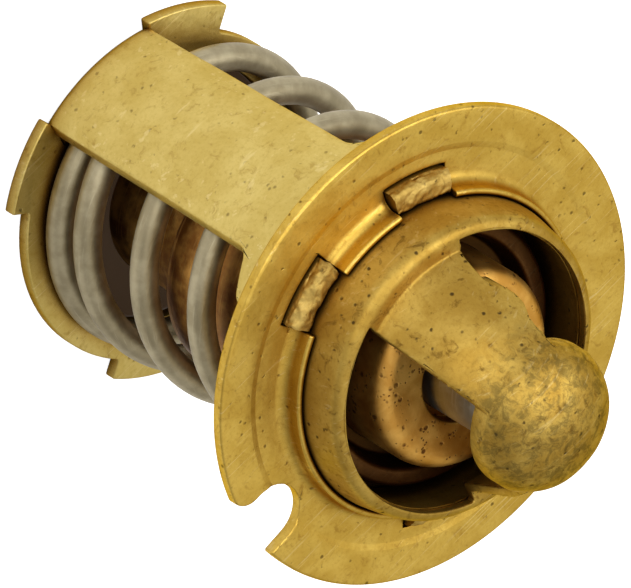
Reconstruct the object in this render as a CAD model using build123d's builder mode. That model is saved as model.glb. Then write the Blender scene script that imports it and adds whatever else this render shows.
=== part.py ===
from build123d import *
import math
import os

os.makedirs("parts", exist_ok=True)

# Engine thermostat, all lengths in millimetres.
# The axis is Z, the origin lies on it in the plane of the flange's front face,
# and the nose points to +Z. The two legs stand at -Y and +Y, the two windows at -X and +X.

# Spring cage: the roll of its legs sets the size of all that sits inside and round it
cage_sheet = 1.1
leg_radius = 14.5
leg_half_width = 5.25
leg_flare = 0.3
shoulder_angle = 37.5
shoulder_low = -6.9
shoulder_high = -5.7
leg_shoulder_round = 1.2
cage_bend = 1.4
cage_inner_bend = 0.4
ring_rear = -31.4
ring_inset = 1.05
ear_reach = 0.5
ear_angle = 50.0
ear_round = 0.5
ear_leg_round = 0.9
leg_angles = (-90, 90)

# Flange plate
flange_reach = 4.5
flange_sheet = 1.0
flange_edge_round = 0.25
land_inset = 2.8
land_step = 0.12
land_slope = 0.5
notch_angle = 4.9
notch_width = 5.0
notch_depth = 4.6
notch_corner = 1.5
notch_blend = 0.1
collar_inset = 0.8
collar_height = 1.6
collar_lip = 0.5
collar_sweep = 1.1
collar_bend = 0.7
collar_lip_round = 0.3

# Tabs that come through the flange plate and are hammered down inwards
tab_start = 13.9
tab_sweep = 21.7
tab_gap = 0.1
tab_root = 0.2
tab_bend = 0.9
tab_end_round = 0.3
slot_side_gap = 0.6
slot_back_gap = 0.2
slot_inner_gap = 0.08

# Bridge dome
dome_sheet = 0.8
dome_fit = 0.1
cup_draft = 0.45
shoulder_width = 2.2
shoulder_height = 4.85
shoulder_round = 0.9
strap_foot_lean = (-0.45, 0.89)
strap_foot_sink = 0.6
strap_waist = 0.478
strap_waist_height = 10.5
strap_waist_normal = (0.93, 0.36)
nose_radius = 5.8
nose_base = 13.4
nose_rise = 3.9
cap_angles = (14, 38, 64, 90)
seat_leg_gap = 0.15
seat_bend = 0.5
seat_inner_bend = 0.7
window_inset = 1.3
window_floor = 2.0
strap_root_half = 5.0
strap_neck_half = 3.4
strap_flare_start = 3.0
window_round = 0.8
neck_round = 0.8

# Main spring: it sits a little off the axis, as it has play in the cage
wire_radius = 1.08
coil_gap = 0.93
coil_shift = (-0.37, -0.24)
coil_pitch = 6.82
coil_start_angle = -91.0
dead_turn = 0.34
ramp_turn = 0.69
points_per_turn = 16

# Valve disc
valve_sheet = 1.0
valve_leg_gap = 0.9
valve_gap = 0.1
valve_rim_round = 0.3
bead_gap = 0.94
bead_width = 1.46
bead_height = 1.0
bead_round = 0.45
web_height = -1.0
web_slope = 0.4
element_fit = 0.05

# Guide body, piston and capsule of the wax element
capsule_gap = 0.76
capsule_lip = 1.0
capsule_lip_width = 1.55
capsule_lip_round = 0.4
capsule_wall = 1.05
capsule_floor = 1.1
head_rear = -19.1
head_round = 0.8
head_wall = 2.15
head_step = 3.25
head_step_round = 0.4
tail_rear = -30.4
tail_round = 1.2
tail_wall = 1.1
guide_height = 4.85
guide_round = 1.3
guide_flange = 2.3
bore_mouth_gap = 0.5
bore_mouth_depth = 1.2
piston_radius = 3.5
piston_fit = 0.05
piston_round = 1.2
piston_gap = 0.1
piston_foot = -3.6
piston_chamfer = 0.3
diaphragm_sheet = 1.0
washer_sheet = 0.5
plug_gap = 0.03

# Radii that follow from the sizes above
leg_bore = leg_radius - cage_sheet
ring_radius = leg_radius - ring_inset
ear_radius = leg_radius + ear_reach
flange_radius = leg_radius + flange_reach
land_radius = flange_radius - land_inset
collar_bore = leg_bore - collar_inset
collar_radius = collar_bore + collar_lip
cup_radius = collar_bore - dome_fit
cup_bore = cup_radius - dome_sheet
cup_top_radius = cup_radius - cup_draft
seat_radius = leg_bore - seat_leg_gap
window_radius = cup_radius - window_inset
strap_foot_radius = cup_radius - shoulder_width
strap_waist_radius = nose_radius + strap_waist * (strap_foot_radius - nose_radius)
tab_reach = cup_radius + tab_gap
coil_radius = leg_bore - coil_gap - wire_radius
ring_hole_radius = coil_radius - wire_radius
valve_rim_radius = leg_bore - valve_leg_gap
bead_radius = cup_bore - bead_gap
bead_inner_radius = bead_radius - bead_width
capsule_radius = coil_radius - wire_radius - capsule_gap
guide_radius = capsule_radius - capsule_lip_width
guide_flange_radius = capsule_radius - capsule_wall
wax_head_radius = capsule_radius - head_wall
tail_radius = capsule_radius - head_step
wax_tail_radius = tail_radius - tail_wall
bore_radius = piston_radius + piston_fit
bore_mouth_radius = piston_radius + bore_mouth_gap

# Heights that follow from the sizes above
land = -land_step
flange_rear = -flange_sheet
tab_top = land + cage_sheet
seat_rear = flange_rear - dome_sheet
valve_front = seat_rear - valve_gap
valve_rear = valve_front - valve_sheet
ring_front = ring_rear + cage_sheet
capsule_front = valve_rear - element_fit
lip_rear = capsule_front - capsule_lip
guide_flange_front = lip_rear - element_fit
guide_rear = guide_flange_front - guide_flange
diaphragm_front = guide_rear - element_fit
diaphragm_rear = diaphragm_front - diaphragm_sheet
wax_front = diaphragm_rear - element_fit
wax_step = head_rear + capsule_floor
wax_rear = tail_rear + capsule_floor
inner_nose_radius = nose_radius - dome_sheet
inner_nose_rise = nose_rise - dome_sheet
piston_contact = (piston_radius - piston_round) / inner_nose_radius
piston_top = nose_base + inner_nose_rise * math.sqrt(1 - piston_contact ** 2) - piston_gap


def section_plane(angle):
    """Upright plane through the axis: its x is the radius at this angle, its y is the height."""
    a = math.radians(angle)
    return Plane(origin=(0, 0, 0), x_dir=(math.cos(a), math.sin(a), 0), z_dir=(math.sin(a), -math.cos(a), 0))


def ring_sector(inner, outer, start, sweep):
    """A flat face between two radii over an angle."""
    ends = [math.radians(start), math.radians(start + sweep)]
    with BuildSketch() as sector:
        with BuildLine():
            CenterArc((0, 0), inner, start, sweep)
            CenterArc((0, 0), outer, start, sweep)
            for end in ends:
                Line(
                    (inner * math.cos(end), inner * math.sin(end)),
                    (outer * math.cos(end), outer * math.sin(end)),
                )
        make_face()
    return sector.sketch


def corner(sketch, x, y):
    """The sketch's vertex nearest to a point."""
    return sketch.vertices().sort_by_distance((x, y, 0))[0]


def mirrored_starts():
    """Start angles of the four tabs: two beside the middle plane of each leg."""
    for leg in leg_angles:
        yield leg + tab_start
        yield leg - tab_start - tab_sweep


# Flange plate: a round stamping with a sunk land, a low collar round its hole,
# four slots for the cage's tabs and one round-bottomed notch in its rim
with BuildPart() as flange_plate:
    with BuildSketch(Plane.XZ) as profile:
        with BuildLine():
            Polyline(
                (collar_bore, flange_rear),
                (flange_radius, flange_rear),
                (flange_radius, 0),
                (land_radius, 0),
                (land_radius - land_slope, land),
                (collar_radius, land),
                (collar_radius, collar_height),
                (collar_bore, collar_height),
                close=True,
            )
        make_face()
        fillet(corner(profile, collar_radius, land), collar_sweep)
        fillet(corner(profile, collar_bore, flange_rear), collar_bend)
        fillet(corner(profile, collar_radius, collar_height), collar_lip_round)
        fillet(corner(profile, flange_radius, 0), flange_edge_round)
        fillet(corner(profile, flange_radius, flange_rear), flange_edge_round)
    revolve(axis=Axis.Z)
    # The slots, and the land worked flat under each tab
    with BuildSketch(Plane.XY.offset(flange_rear)):
        for start in mirrored_starts():
            slot = ring_sector(
                leg_bore - slot_inner_gap,
                leg_radius + slot_back_gap,
                start - slot_side_gap,
                tab_sweep + 2 * slot_side_gap,
            )
            add(slot)
    extrude(amount=flange_sheet + collar_height, mode=Mode.SUBTRACT)
    with BuildSketch(Plane.XY.offset(land)):
        for start in mirrored_starts():
            seat = ring_sector(
                cup_radius,
                leg_radius,
                start - slot_side_gap,
                tab_sweep + 2 * slot_side_gap,
            )
            add(seat)
    extrude(amount=collar_height + land_step, mode=Mode.SUBTRACT)
    # Rim notch: straight sides, a round bottom, and one corner worn round
    notch_half = notch_width / 2
    notch_root = flange_radius - notch_depth + notch_half
    notch_mouth = flange_radius + notch_width
    corner_y = -notch_half - notch_corner
    corner_x = math.sqrt((flange_radius - notch_corner + notch_blend) ** 2 - corner_y ** 2)
    corner_arc = [
        (
            corner_x + notch_corner * math.cos(angle),
            corner_y + notch_corner * math.sin(angle),
        )
        for angle in (math.pi / 2, math.pi / 4, math.atan2(corner_y, corner_x))
    ]
    with BuildSketch(Plane.XY.offset(flange_rear).rotated((0, 0, notch_angle))):
        with BuildLine():
            Line((notch_mouth, notch_half), (notch_root, notch_half))
            ThreePointArc(
                (notch_root, notch_half),
                (flange_radius - notch_depth, 0),
                (notch_root, -notch_half),
            )
            Line((notch_root, -notch_half), corner_arc[0])
            ThreePointArc(*corner_arc)
            Polyline(corner_arc[2], (notch_mouth, corner_arc[2][1]), (notch_mouth, notch_half))
        make_face()
    extrude(amount=flange_sheet, mode=Mode.SUBTRACT)
flange_plate.part.label = "flange_plate"
export_step(flange_plate.part, "parts/flange_plate.step")


def strap_curve(inset):
    """Points up the strap and over the nose's elliptical cap, at a depth inside the sheet."""
    foot = (strap_foot_radius - inset * strap_foot_sink, shoulder_height - inset)
    middle = (
        strap_waist_radius - inset * strap_waist_normal[0],
        strap_waist_height - inset * strap_waist_normal[1],
    )
    cap = [
        (
            (nose_radius - inset) * math.cos(math.radians(angle)),
            nose_base + (nose_rise - inset) * math.sin(math.radians(angle)),
        )
        for angle in cap_angles
    ]
    return [foot, middle] + cap


# Bridge dome: a cup drawn from one sheet, with two windows punched through its top,
# so that a strap from each leg side carries the closed nose over the valve
with BuildPart() as bridge_dome:
    with BuildSketch(Plane.XZ) as profile:
        with BuildLine():
            outer = Spline(strap_curve(0), tangents=[strap_foot_lean, (-1, 0)])
            inner = Spline(strap_curve(dome_sheet), tangents=[strap_foot_lean, (-1, 0)])
            Line(outer @ 1, inner @ 1)
            Polyline(
                outer @ 0,
                (cup_top_radius, shoulder_height),
                (cup_radius, collar_height),
                (cup_radius, flange_rear),
                (seat_radius, flange_rear),
                (seat_radius, seat_rear),
                (cup_bore, seat_rear),
                (cup_bore, collar_height),
                (cup_top_radius - dome_sheet, shoulder_height - dome_sheet),
                inner @ 0,
            )
        make_face()
        fillet(corner(profile, cup_top_radius, shoulder_height), shoulder_round)
        fillet(corner(profile, cup_bore, seat_rear), seat_inner_bend)
        fillet(corner(profile, cup_radius, flange_rear), seat_bend)
    revolve(axis=Axis.Z)
    with BuildSketch(Plane.XY.offset(window_floor)) as windows:
        Circle(window_radius)
        with BuildLine():
            for side in (-1, 1):
                Polyline(
                    (side * strap_root_half, -cup_radius),
                    (side * strap_neck_half, -strap_flare_start),
                    (side * strap_neck_half, strap_flare_start),
                    (side * strap_root_half, cup_radius),
                )
            for end in (-1, 1):
                Line((-strap_root_half, end * cup_radius), (strap_root_half, end * cup_radius))
        make_face(mode=Mode.SUBTRACT)
        Circle(nose_radius, mode=Mode.SUBTRACT)
        neck_height = math.sqrt(nose_radius ** 2 - strap_neck_half ** 2)
        root_height = math.sqrt(window_radius ** 2 - strap_root_half ** 2)
        for side in (-1, 1):
            for end in (-1, 1):
                fillet(corner(windows, side * strap_root_half, end * root_height), window_round)
        for side in (-1, 1):
            for end in (-1, 1):
                fillet(corner(windows, side * strap_neck_half, end * neck_height), neck_round)
    extrude(amount=nose_base + nose_rise, mode=Mode.SUBTRACT)
bridge_dome.part.label = "bridge_dome"
export_step(bridge_dome.part, "parts/bridge_dome.step")

# Spring cage: one stamping with a rear ring, an ear on each side of each leg,
# two legs rolled to the cage's radius, and wide shoulders under the flange plate
with BuildPart() as spring_cage:
    with BuildSketch(Plane.XZ) as profile:
        with BuildLine():
            Polyline(
                (ring_hole_radius, ring_rear),
                (leg_radius, ring_rear),
                (leg_radius, flange_rear),
                (leg_bore, flange_rear),
                (leg_bore, ring_front),
                (ring_hole_radius, ring_front),
                close=True,
            )
        make_face()
        fillet(corner(profile, leg_radius, ring_rear), cage_bend)
        fillet(corner(profile, leg_bore, ring_front), cage_inner_bend)
    revolve(axis=Axis.Z)
    # What is left of the rolled wall is the flat outline of the two legs
    with BuildSketch(Plane.XZ.offset(-leg_radius)) as outline:
        with BuildLine():
            Polyline(
                (-leg_half_width, ring_rear),
                (leg_half_width, ring_rear),
                (leg_half_width + leg_flare, shoulder_low),
                (leg_radius, shoulder_high),
                (leg_radius, flange_rear),
                (-leg_radius, flange_rear),
                (-leg_radius, shoulder_high),
                (-leg_half_width - leg_flare, shoulder_low),
                close=True,
            )
        make_face()
        for side in (-1, 1):
            inside = side * (leg_half_width + leg_flare)
            fillet(corner(outline, inside, shoulder_low), leg_shoulder_round)
    extrude(amount=2 * leg_radius, mode=Mode.INTERSECT)
    with BuildSketch(Plane.XY.offset(shoulder_low)):
        for leg in leg_angles:
            between = 180 - 2 * shoulder_angle
            add(ring_sector(bore_radius, ear_radius, leg + shoulder_angle, between))
    extrude(amount=flange_rear - shoulder_low, mode=Mode.SUBTRACT)
    leg_edge = math.degrees(math.asin(leg_half_width / leg_radius))
    with BuildSketch(Plane.XY.offset(ring_rear)) as ring:
        Circle(ring_radius)
        for leg in leg_angles:
            for first in (leg + leg_edge, leg - ear_angle):
                add(ring_sector(coil_radius, ear_radius, first, ear_angle - leg_edge))
        for leg in leg_angles:
            for turn, rounding in (
                (ear_angle, ear_round),
                (-ear_angle, ear_round),
                (leg_edge, ear_leg_round),
                (-leg_edge, ear_leg_round),
            ):
                end = math.radians(leg + turn)
                tip = corner(ring, ear_radius * math.cos(end), ear_radius * math.sin(end))
                fillet(tip, rounding)
        Circle(ring_hole_radius, mode=Mode.SUBTRACT)
    extrude(amount=cage_sheet)
    # Tabs, folded inwards over the flange plate
    for start in mirrored_starts():
        with BuildSketch(section_plane(start)) as fold:
            with BuildLine():
                Polyline(
                    (leg_bore, flange_rear - tab_root),
                    (leg_radius, flange_rear - tab_root),
                    (leg_radius, tab_top),
                    (tab_reach, tab_top),
                    (tab_reach, land),
                    (leg_bore, land),
                    close=True,
                )
            make_face()
            fillet(corner(fold, leg_radius, tab_top), tab_bend)
            fillet(corner(fold, tab_reach, tab_top), tab_end_round)
        revolve(axis=Axis.Z, revolution_arc=tab_sweep)
spring_cage.part.label = "spring_cage"
export_step(spring_cage.part, "parts/spring_cage.step")


# Main spring: a right-handed coil whose first and last turns close up flat
def coil_rise(turn):
    """Height gained in a number of turns from the flat end of the wire."""
    ramp = min(max(turn - dead_turn, 0), ramp_turn)
    run = max(turn - dead_turn - ramp_turn, 0)
    return coil_pitch * (ramp * ramp / (2 * ramp_turn) + run)


coil_height = (valve_rear - ring_front) - 2 * wire_radius
end_rise = coil_pitch * ramp_turn / 2
coil_turns = 2 * (dead_turn + ramp_turn) + (coil_height - 2 * end_rise) / coil_pitch


def coil_point(turn):
    angle = math.radians(coil_start_angle + 360 * turn)
    if turn < coil_turns / 2:
        rise = coil_rise(turn)
    else:
        rise = coil_height - coil_rise(coil_turns - turn)
    return (
        coil_shift[0] + coil_radius * math.cos(angle),
        coil_shift[1] + coil_radius * math.sin(angle),
        ring_front + wire_radius + rise,
    )


with BuildPart() as main_spring:
    steps = round(coil_turns * points_per_turn)
    with BuildLine() as coil:
        Spline([coil_point(coil_turns * step / steps) for step in range(steps + 1)])
    with BuildSketch(Plane(origin=coil.line @ 0, z_dir=coil.line % 0)):
        Circle(wire_radius)
    sweep(path=coil.line)
main_spring.part.label = "main_spring"
export_step(main_spring.part, "parts/main_spring.step")

# Valve disc: a ring with a sealing rim, a tall bead that fills the cup's bore,
# and a web that grips the wax element
with BuildPart() as valve_disc:
    with BuildSketch(Plane.XZ) as profile:
        with BuildLine():
            Polyline(
                (guide_radius + element_fit, valve_rear),
                (valve_rim_radius, valve_rear),
                (valve_rim_radius, valve_front),
                (bead_radius, valve_front),
                (bead_radius, bead_height),
                (bead_inner_radius, bead_height),
                (bead_inner_radius - web_slope, web_height),
                (guide_radius + element_fit, web_height),
                close=True,
            )
        make_face()
        fillet(corner(profile, bead_radius, bead_height), bead_round)
        fillet(corner(profile, bead_inner_radius, bead_height), bead_round)
        fillet(corner(profile, valve_rim_radius, valve_front), valve_rim_round)
    revolve(axis=Axis.Z)
valve_disc.part.label = "valve_disc"
export_step(valve_disc.part, "parts/valve_disc.step")

# Guide body: the round-shouldered cup that guides the piston and closes the capsule
with BuildPart() as guide_body:
    with BuildSketch(Plane.XZ) as profile:
        with BuildLine():
            Polyline(
                (bore_radius, guide_rear),
                (guide_flange_radius, guide_rear),
                (guide_flange_radius, guide_flange_front),
                (guide_radius, guide_flange_front),
                (guide_radius, guide_height),
                (bore_mouth_radius, guide_height),
                (bore_mouth_radius, guide_height - bore_mouth_depth),
                (bore_radius, guide_height - bore_mouth_depth),
                close=True,
            )
        make_face()
        fillet(corner(profile, guide_radius, guide_height), guide_round)
    revolve(axis=Axis.Z)
guide_body.part.label = "guide_body"
export_step(guide_body.part, "parts/guide_body.step")

# Piston: its round head bears on the inside of the nose
with BuildPart() as piston:
    with BuildSketch(Plane.XZ) as profile:
        with BuildLine():
            Polyline(
                (0, piston_foot),
                (piston_radius, piston_foot),
                (piston_radius, piston_top),
                (0, piston_top),
                close=True,
            )
        make_face()
        fillet(corner(profile, piston_radius, piston_top), piston_round)
        chamfer(corner(profile, piston_radius, piston_foot), piston_chamfer)
    revolve(axis=Axis.Z)
piston.part.label = "piston"
export_step(piston.part, "parts/piston.step")

# Capsule cup: a wide head rolled over the guide body's flange, and a narrow tail
with BuildPart() as capsule_cup:
    with BuildSketch(Plane.XZ) as profile:
        with BuildLine():
            Polyline(
                (0, tail_rear),
                (tail_radius, tail_rear),
                (tail_radius, head_rear),
                (capsule_radius, head_rear),
                (capsule_radius, capsule_front),
                (guide_radius + element_fit, capsule_front),
                (guide_radius + element_fit, lip_rear),
                (guide_flange_radius + element_fit, lip_rear),
                (guide_flange_radius + element_fit, diaphragm_rear - element_fit / 2),
                (wax_head_radius + element_fit, diaphragm_rear - element_fit / 2),
                (wax_head_radius + element_fit, wax_step),
                (wax_tail_radius + element_fit, wax_step),
                (wax_tail_radius + element_fit, wax_rear - element_fit),
                (0, wax_rear - element_fit),
                close=True,
            )
        make_face()
        fillet(corner(profile, tail_radius, tail_rear), tail_round)
        fillet(corner(profile, capsule_radius, head_rear), head_round)
        fillet(corner(profile, capsule_radius, capsule_front), capsule_lip_round)
        fillet(corner(profile, tail_radius, head_rear), head_step_round)
    revolve(axis=Axis.Z)
capsule_cup.part.label = "capsule_cup"
export_step(capsule_cup.part, "parts/capsule_cup.step")

# Wax charge: it fills the capsule from the diaphragm to the tail's floor
with BuildPart() as wax_charge:
    with BuildSketch(Plane.XZ):
        with BuildLine():
            Polyline(
                (0, wax_rear),
                (wax_tail_radius, wax_rear),
                (wax_tail_radius, wax_step + element_fit),
                (wax_head_radius, wax_step + element_fit),
                (wax_head_radius, wax_front),
                (0, wax_front),
                close=True,
            )
        make_face()
    revolve(axis=Axis.Z)
wax_charge.part.label = "wax_charge"
export_step(wax_charge.part, "parts/wax_charge.step")

# Diaphragm: a rubber disc clamped between the guide body and the capsule
with BuildPart() as diaphragm:
    with BuildSketch(Plane.XY.offset(diaphragm_rear)):
        Circle(guide_flange_radius)
    extrude(amount=diaphragm_sheet)
diaphragm.part.label = "diaphragm"
export_step(diaphragm.part, "parts/diaphragm.step")

# Plug and washer: rubber that carries the wax's push up the bore, and the hard
# washer that keeps it out of the gap round the piston
washer_front = piston_foot - element_fit
washer_rear = washer_front - washer_sheet
with BuildPart() as plug:
    with BuildSketch(Plane.XY.offset(diaphragm_front + element_fit)):
        Circle(bore_radius - plug_gap)
    extrude(amount=washer_rear - element_fit - diaphragm_front - element_fit)
plug.part.label = "plug"
export_step(plug.part, "parts/plug.step")

with BuildPart() as plug_washer:
    with BuildSketch(Plane.XY.offset(washer_rear)):
        Circle(bore_radius - plug_gap)
    extrude(amount=washer_sheet)
plug_washer.part.label = "plug_washer"
export_step(plug_washer.part, "parts/plug_washer.step")
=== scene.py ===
# %% [markdown]
# # Engine thermostat
# A used brass thermostat from a small engine. It sits between two halves of a housing, and its
# valve opens when the coolant is hot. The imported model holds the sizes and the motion. This
# script dresses it: every stamping, turned piece and wire gets a finely rounded mesh and a finish
# with stains, pits and scratches. All sizes below are millimetres, and are turned into metres
# when a mesh is made, so that the numbers read like those on a drawing.

# %% Frame
import math

import bmesh
import bpy
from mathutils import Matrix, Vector, noise


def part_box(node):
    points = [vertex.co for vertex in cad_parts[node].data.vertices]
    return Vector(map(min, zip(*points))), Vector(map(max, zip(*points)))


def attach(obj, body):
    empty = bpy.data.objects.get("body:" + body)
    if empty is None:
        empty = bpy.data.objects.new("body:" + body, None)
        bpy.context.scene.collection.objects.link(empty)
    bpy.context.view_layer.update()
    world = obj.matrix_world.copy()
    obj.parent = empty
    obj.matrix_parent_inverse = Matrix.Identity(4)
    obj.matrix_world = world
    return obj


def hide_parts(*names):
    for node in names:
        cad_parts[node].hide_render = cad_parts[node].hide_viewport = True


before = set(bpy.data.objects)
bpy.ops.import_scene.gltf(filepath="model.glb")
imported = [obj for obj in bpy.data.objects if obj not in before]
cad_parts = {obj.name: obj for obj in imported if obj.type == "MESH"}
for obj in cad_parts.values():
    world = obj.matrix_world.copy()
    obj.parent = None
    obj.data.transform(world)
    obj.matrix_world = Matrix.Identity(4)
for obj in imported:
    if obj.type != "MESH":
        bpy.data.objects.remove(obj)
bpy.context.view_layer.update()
MM = 0.001

# %% [markdown]
# ## Camera
# The photograph was taken with a long lens, so the flange's circle is an even ellipse. The camera
# stands 44 degrees above the flange and is rolled, so that the nose points to the lower right.
# It could be placed by eye, but it is worked out instead: a direction, the pixel where the
# flange's centre lies, and how many pixels a millimetre takes. Each of these can be measured in
# the photograph, and each can be put right without upsetting the others.

# %% Camera
IMAGE_WIDTH = 631
IMAGE_HEIGHT = 588
AZIMUTH = math.radians(20.0)
ELEVATION = math.radians(43.6)
NOSE_DIRECTION = math.radians(-31.2)
FLANGE_CENTRE_PX = (425.0, 346.6)
PIXELS_PER_MM = 13.655
CAMERA_DISTANCE = 1500.0

back = Vector((
    math.sin(AZIMUTH) * math.cos(ELEVATION),
    -math.cos(AZIMUTH) * math.cos(ELEVATION),
    math.sin(ELEVATION),
))
level = Vector((math.cos(AZIMUTH), math.sin(AZIMUTH), 0))
upright = back.cross(level)
roll = NOSE_DIRECTION - math.radians(90)
image_right = math.cos(roll) * level - math.sin(roll) * upright
image_up = math.sin(roll) * level + math.cos(roll) * upright
offset_right = (FLANGE_CENTRE_PX[0] - IMAGE_WIDTH / 2) / PIXELS_PER_MM
offset_up = (IMAGE_HEIGHT / 2 - FLANGE_CENTRE_PX[1]) / PIXELS_PER_MM
place = back * CAMERA_DISTANCE - image_right * offset_right - image_up * offset_up

camera_data = bpy.data.cameras.new("camera")
camera = bpy.data.objects.new("camera", camera_data)
bpy.context.scene.collection.objects.link(camera)
camera_data.sensor_width = 36.0
camera_data.lens = PIXELS_PER_MM * CAMERA_DISTANCE / IMAGE_WIDTH * camera_data.sensor_width
camera_data.clip_start = 0.01
camera_data.clip_end = 20.0
turn = camera.matrix_world.copy().to_3x3()
for row in range(3):
    turn[row][0] = image_right[row]
    turn[row][1] = image_up[row]
    turn[row][2] = back[row]
camera.matrix_world = turn.to_4x4()
camera.location = place * MM
bpy.context.scene.camera = camera
print("camera lens", round(camera_data.lens, 1))

# %% [markdown]
# ## Helpers for nodes
# Light, floor, finishes and the rule-bound pieces are all node trees. One small class keeps their
# lines short: it adds a node with its inputs, a sum, a vector sum or a ramp. A second one, for a
# material, adds what finishes need: noise and cells sized in millimetres, and soft masks.


# %% Node helpers
class Nodes:
    """A node tree with short ways to add to it. Inputs are named with _ for a space."""

    def __init__(self, tree):
        self.tree = tree

    def link(self, source, target):
        self.tree.links.new(source, target)

    def put(self, value, socket):
        """Feed a socket from another one, or set it."""
        if hasattr(value, "links"):
            self.link(value, socket)
        elif socket.type == "RGBA" and len(value) == 3:
            socket.default_value = (*value, 1)
        else:
            socket.default_value = value

    def feed(self, made, inputs):
        for key, value in inputs.items():
            self.put(value, made.inputs[key.replace("_", " ")])

    def node(self, kind, settings=None, **inputs):
        made = self.tree.nodes.new(kind)
        for key, value in (settings or {}).items():
            setattr(made, key, value)
        self.feed(made, inputs)
        return made

    def math(self, operation, *values):
        """A sum of one, two or three numbers."""
        made = self.node("ShaderNodeMath", {"operation": operation})
        for value, socket in zip(values, made.inputs):
            self.put(value, socket)
        return made.outputs[0]

    def vector(self, operation, *values, **named):
        """A sum of vectors, or the number it gives for a length or a dot product."""
        made = self.node("ShaderNodeVectorMath", {"operation": operation}, **named)
        for value, socket in zip(values, made.inputs):
            self.put(value, socket)
        return made.outputs["Value" if operation in ("LENGTH", "DOT_PRODUCT") else "Vector"]

    def ramp(self, value, low, high):
        """A colour between two stops, each a position and a colour."""
        made = self.node("ShaderNodeValToRGB", Fac=value)
        for stop, (position, colour) in zip(made.color_ramp.elements, (low, high)):
            stop.position = position
            stop.color = (*colour, 1)
        return made.outputs["Color"]


class Graph(Nodes):
    """The node graph of one material, with its shader and a position in millimetres."""

    def __init__(self, name):
        self.material = bpy.data.materials.new(name)
        self.material.use_nodes = True
        super().__init__(self.material.node_tree)
        self.shader = self.tree.nodes["Principled BSDF"]
        where = self.node("ShaderNodeTexCoord").outputs["Object"]
        self.position = self.vector("SCALE", where, Scale=1 / MM)

    def noise(self, feature, detail=4.0, rough=0.55, distort=0.0, where=None):
        """Noise whose features are about this many millimetres across."""
        return self.node(
            "ShaderNodeTexNoise", Vector=where or self.position, Scale=1 / feature,
            Detail=detail, Roughness=rough, Distortion=distort,
        ).outputs["Fac"]

    def stretched(self, turn, stretch):
        """The position, turned and drawn out, for scratches."""
        made = self.node("ShaderNodeMapping", Vector=self.position, Rotation=turn, Scale=stretch)
        return made.outputs["Vector"]

    def cells(self, size):
        """Distance to the nearest of scattered points, in units of the cell size."""
        made = self.node("ShaderNodeTexVoronoi", Vector=self.position, Scale=1 / size, Randomness=1.0)
        return made.outputs["Distance"]

    def mask(self, value, low, high):
        """0 below low, 1 above high, smooth between. Low above high turns it round."""
        return self.node(
            "ShaderNodeMapRange", {"interpolation_type": "SMOOTHSTEP"},
            Value=value, From_Min=low, From_Max=high,
        ).outputs["Result"]

    def mix(self, factor, first, second):
        """Mix two colours."""
        made = self.node("ShaderNodeMix", {"data_type": "RGBA", "clamp_factor": True})
        for number, value in ((0, factor), (6, first), (7, second)):
            self.put(value, made.inputs[number])
        return made.outputs[2]

    def recess_shading(self, reach):
        """How shut in a place is, 0 in the open, from its surroundings within some millimetres. It sets
        where shade is painted into recesses.
        """
        made = self.node("ShaderNodeAmbientOcclusion", {"samples": 6}, Distance=reach * MM)
        return self.math("SUBTRACT", 1.0, made.outputs["AO"])

    def bump(self, height, depth, strength=1.0, under=None):
        """Roughen the surface by a height map, whose full range is a depth in millimetres."""
        made = self.node("ShaderNodeBump", Strength=strength, Distance=depth * MM, Height=height)
        if under is not None:
            self.link(under, made.inputs["Normal"])
        return made.outputs["Normal"]

    def finish(self, **inputs):
        """Feed the shader and hand back the material."""
        self.feed(self.shader, inputs)
        return self.material


print("node helpers ready")

# %% [markdown]
# ## Light
# A white table under a soft bright tent. Metal shows what it mirrors, so one even white world
# would make the brass look like paint. The tent is a ramp instead, bright overhead and dark
# below. One broad lamp stands low in front of the near leg, and a second one high up.

# %% Light
TENT_BRIGHT_SIDE = (-0.30, 0.05, 0.95)
TENT_BRIGHT = (1.0, 0.99, 0.97)
TENT_DARK = (0.05, 0.045, 0.04)
TENT_STRENGTH = 0.96

scene = bpy.context.scene
scene.view_settings.view_transform = "Standard"
scene.view_settings.look = "None"
world = bpy.data.worlds.new("tent")
scene.world = world
world.use_nodes = True
world.node_tree.nodes.clear()
tent = Nodes(world.node_tree)
looking = tent.node("ShaderNodeTexCoord").outputs["Generated"]
facing = tent.vector("DOT_PRODUCT", looking, TENT_BRIGHT_SIDE)
share = tent.node("ShaderNodeMapRange", Value=facing, From_Min=-1.0, From_Max=1.0)
tent_colour = tent.ramp(share.outputs["Result"], (0.2, TENT_DARK), (0.9, TENT_BRIGHT))
tent_light = tent.node("ShaderNodeBackground", Color=tent_colour, Strength=TENT_STRENGTH)
tent.node("ShaderNodeOutputWorld", Surface=tent_light.outputs["Background"])


def lamp(name, towards, distance, size, watts):
    """A soft square lamp that stands in a direction from the part and faces it, in metres."""
    data = bpy.data.lights.new(name, "AREA")
    data.size = size
    data.energy = watts
    item = bpy.data.objects.new(name, data)
    scene.collection.objects.link(item)
    direction = Vector(towards).normalized()
    item.location = direction * distance
    item.rotation_euler = direction.to_track_quat("Z", "Y").to_euler()


lamp("key", (0.15, -0.95, 0.55), distance=0.6, size=0.45, watts=1.5)
lamp("top", (-0.5, -0.2, 1.0), distance=0.7, size=0.5, watts=2.4)
print("tent and two lamps")

# %% [markdown]
# ## Floor
# A pale matt table, not part of the object. The camera sees it glow, so that the ground comes out
# white, but the part mirrors it much dimmer, or the near leg would be blown out. A shadow is
# painted on it under the cage's ring, dark within a radius of the axis. It lies a hair below the
# ring, because two faces in one plane flicker.

# %% Floor
FLOOR_HALF = 1500.0
FLOOR_GAP = 0.05
FLOOR_COLOUR = (0.80, 0.80, 0.80)
SHADE_COLOUR = (0.03, 0.018, 0.01)
SHADE_RADIUS = 12.0
SHADE_EDGE = 0.6
GLOW_TO_PART = 0.08
GLOW_TO_CAMERA = 1.0

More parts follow.
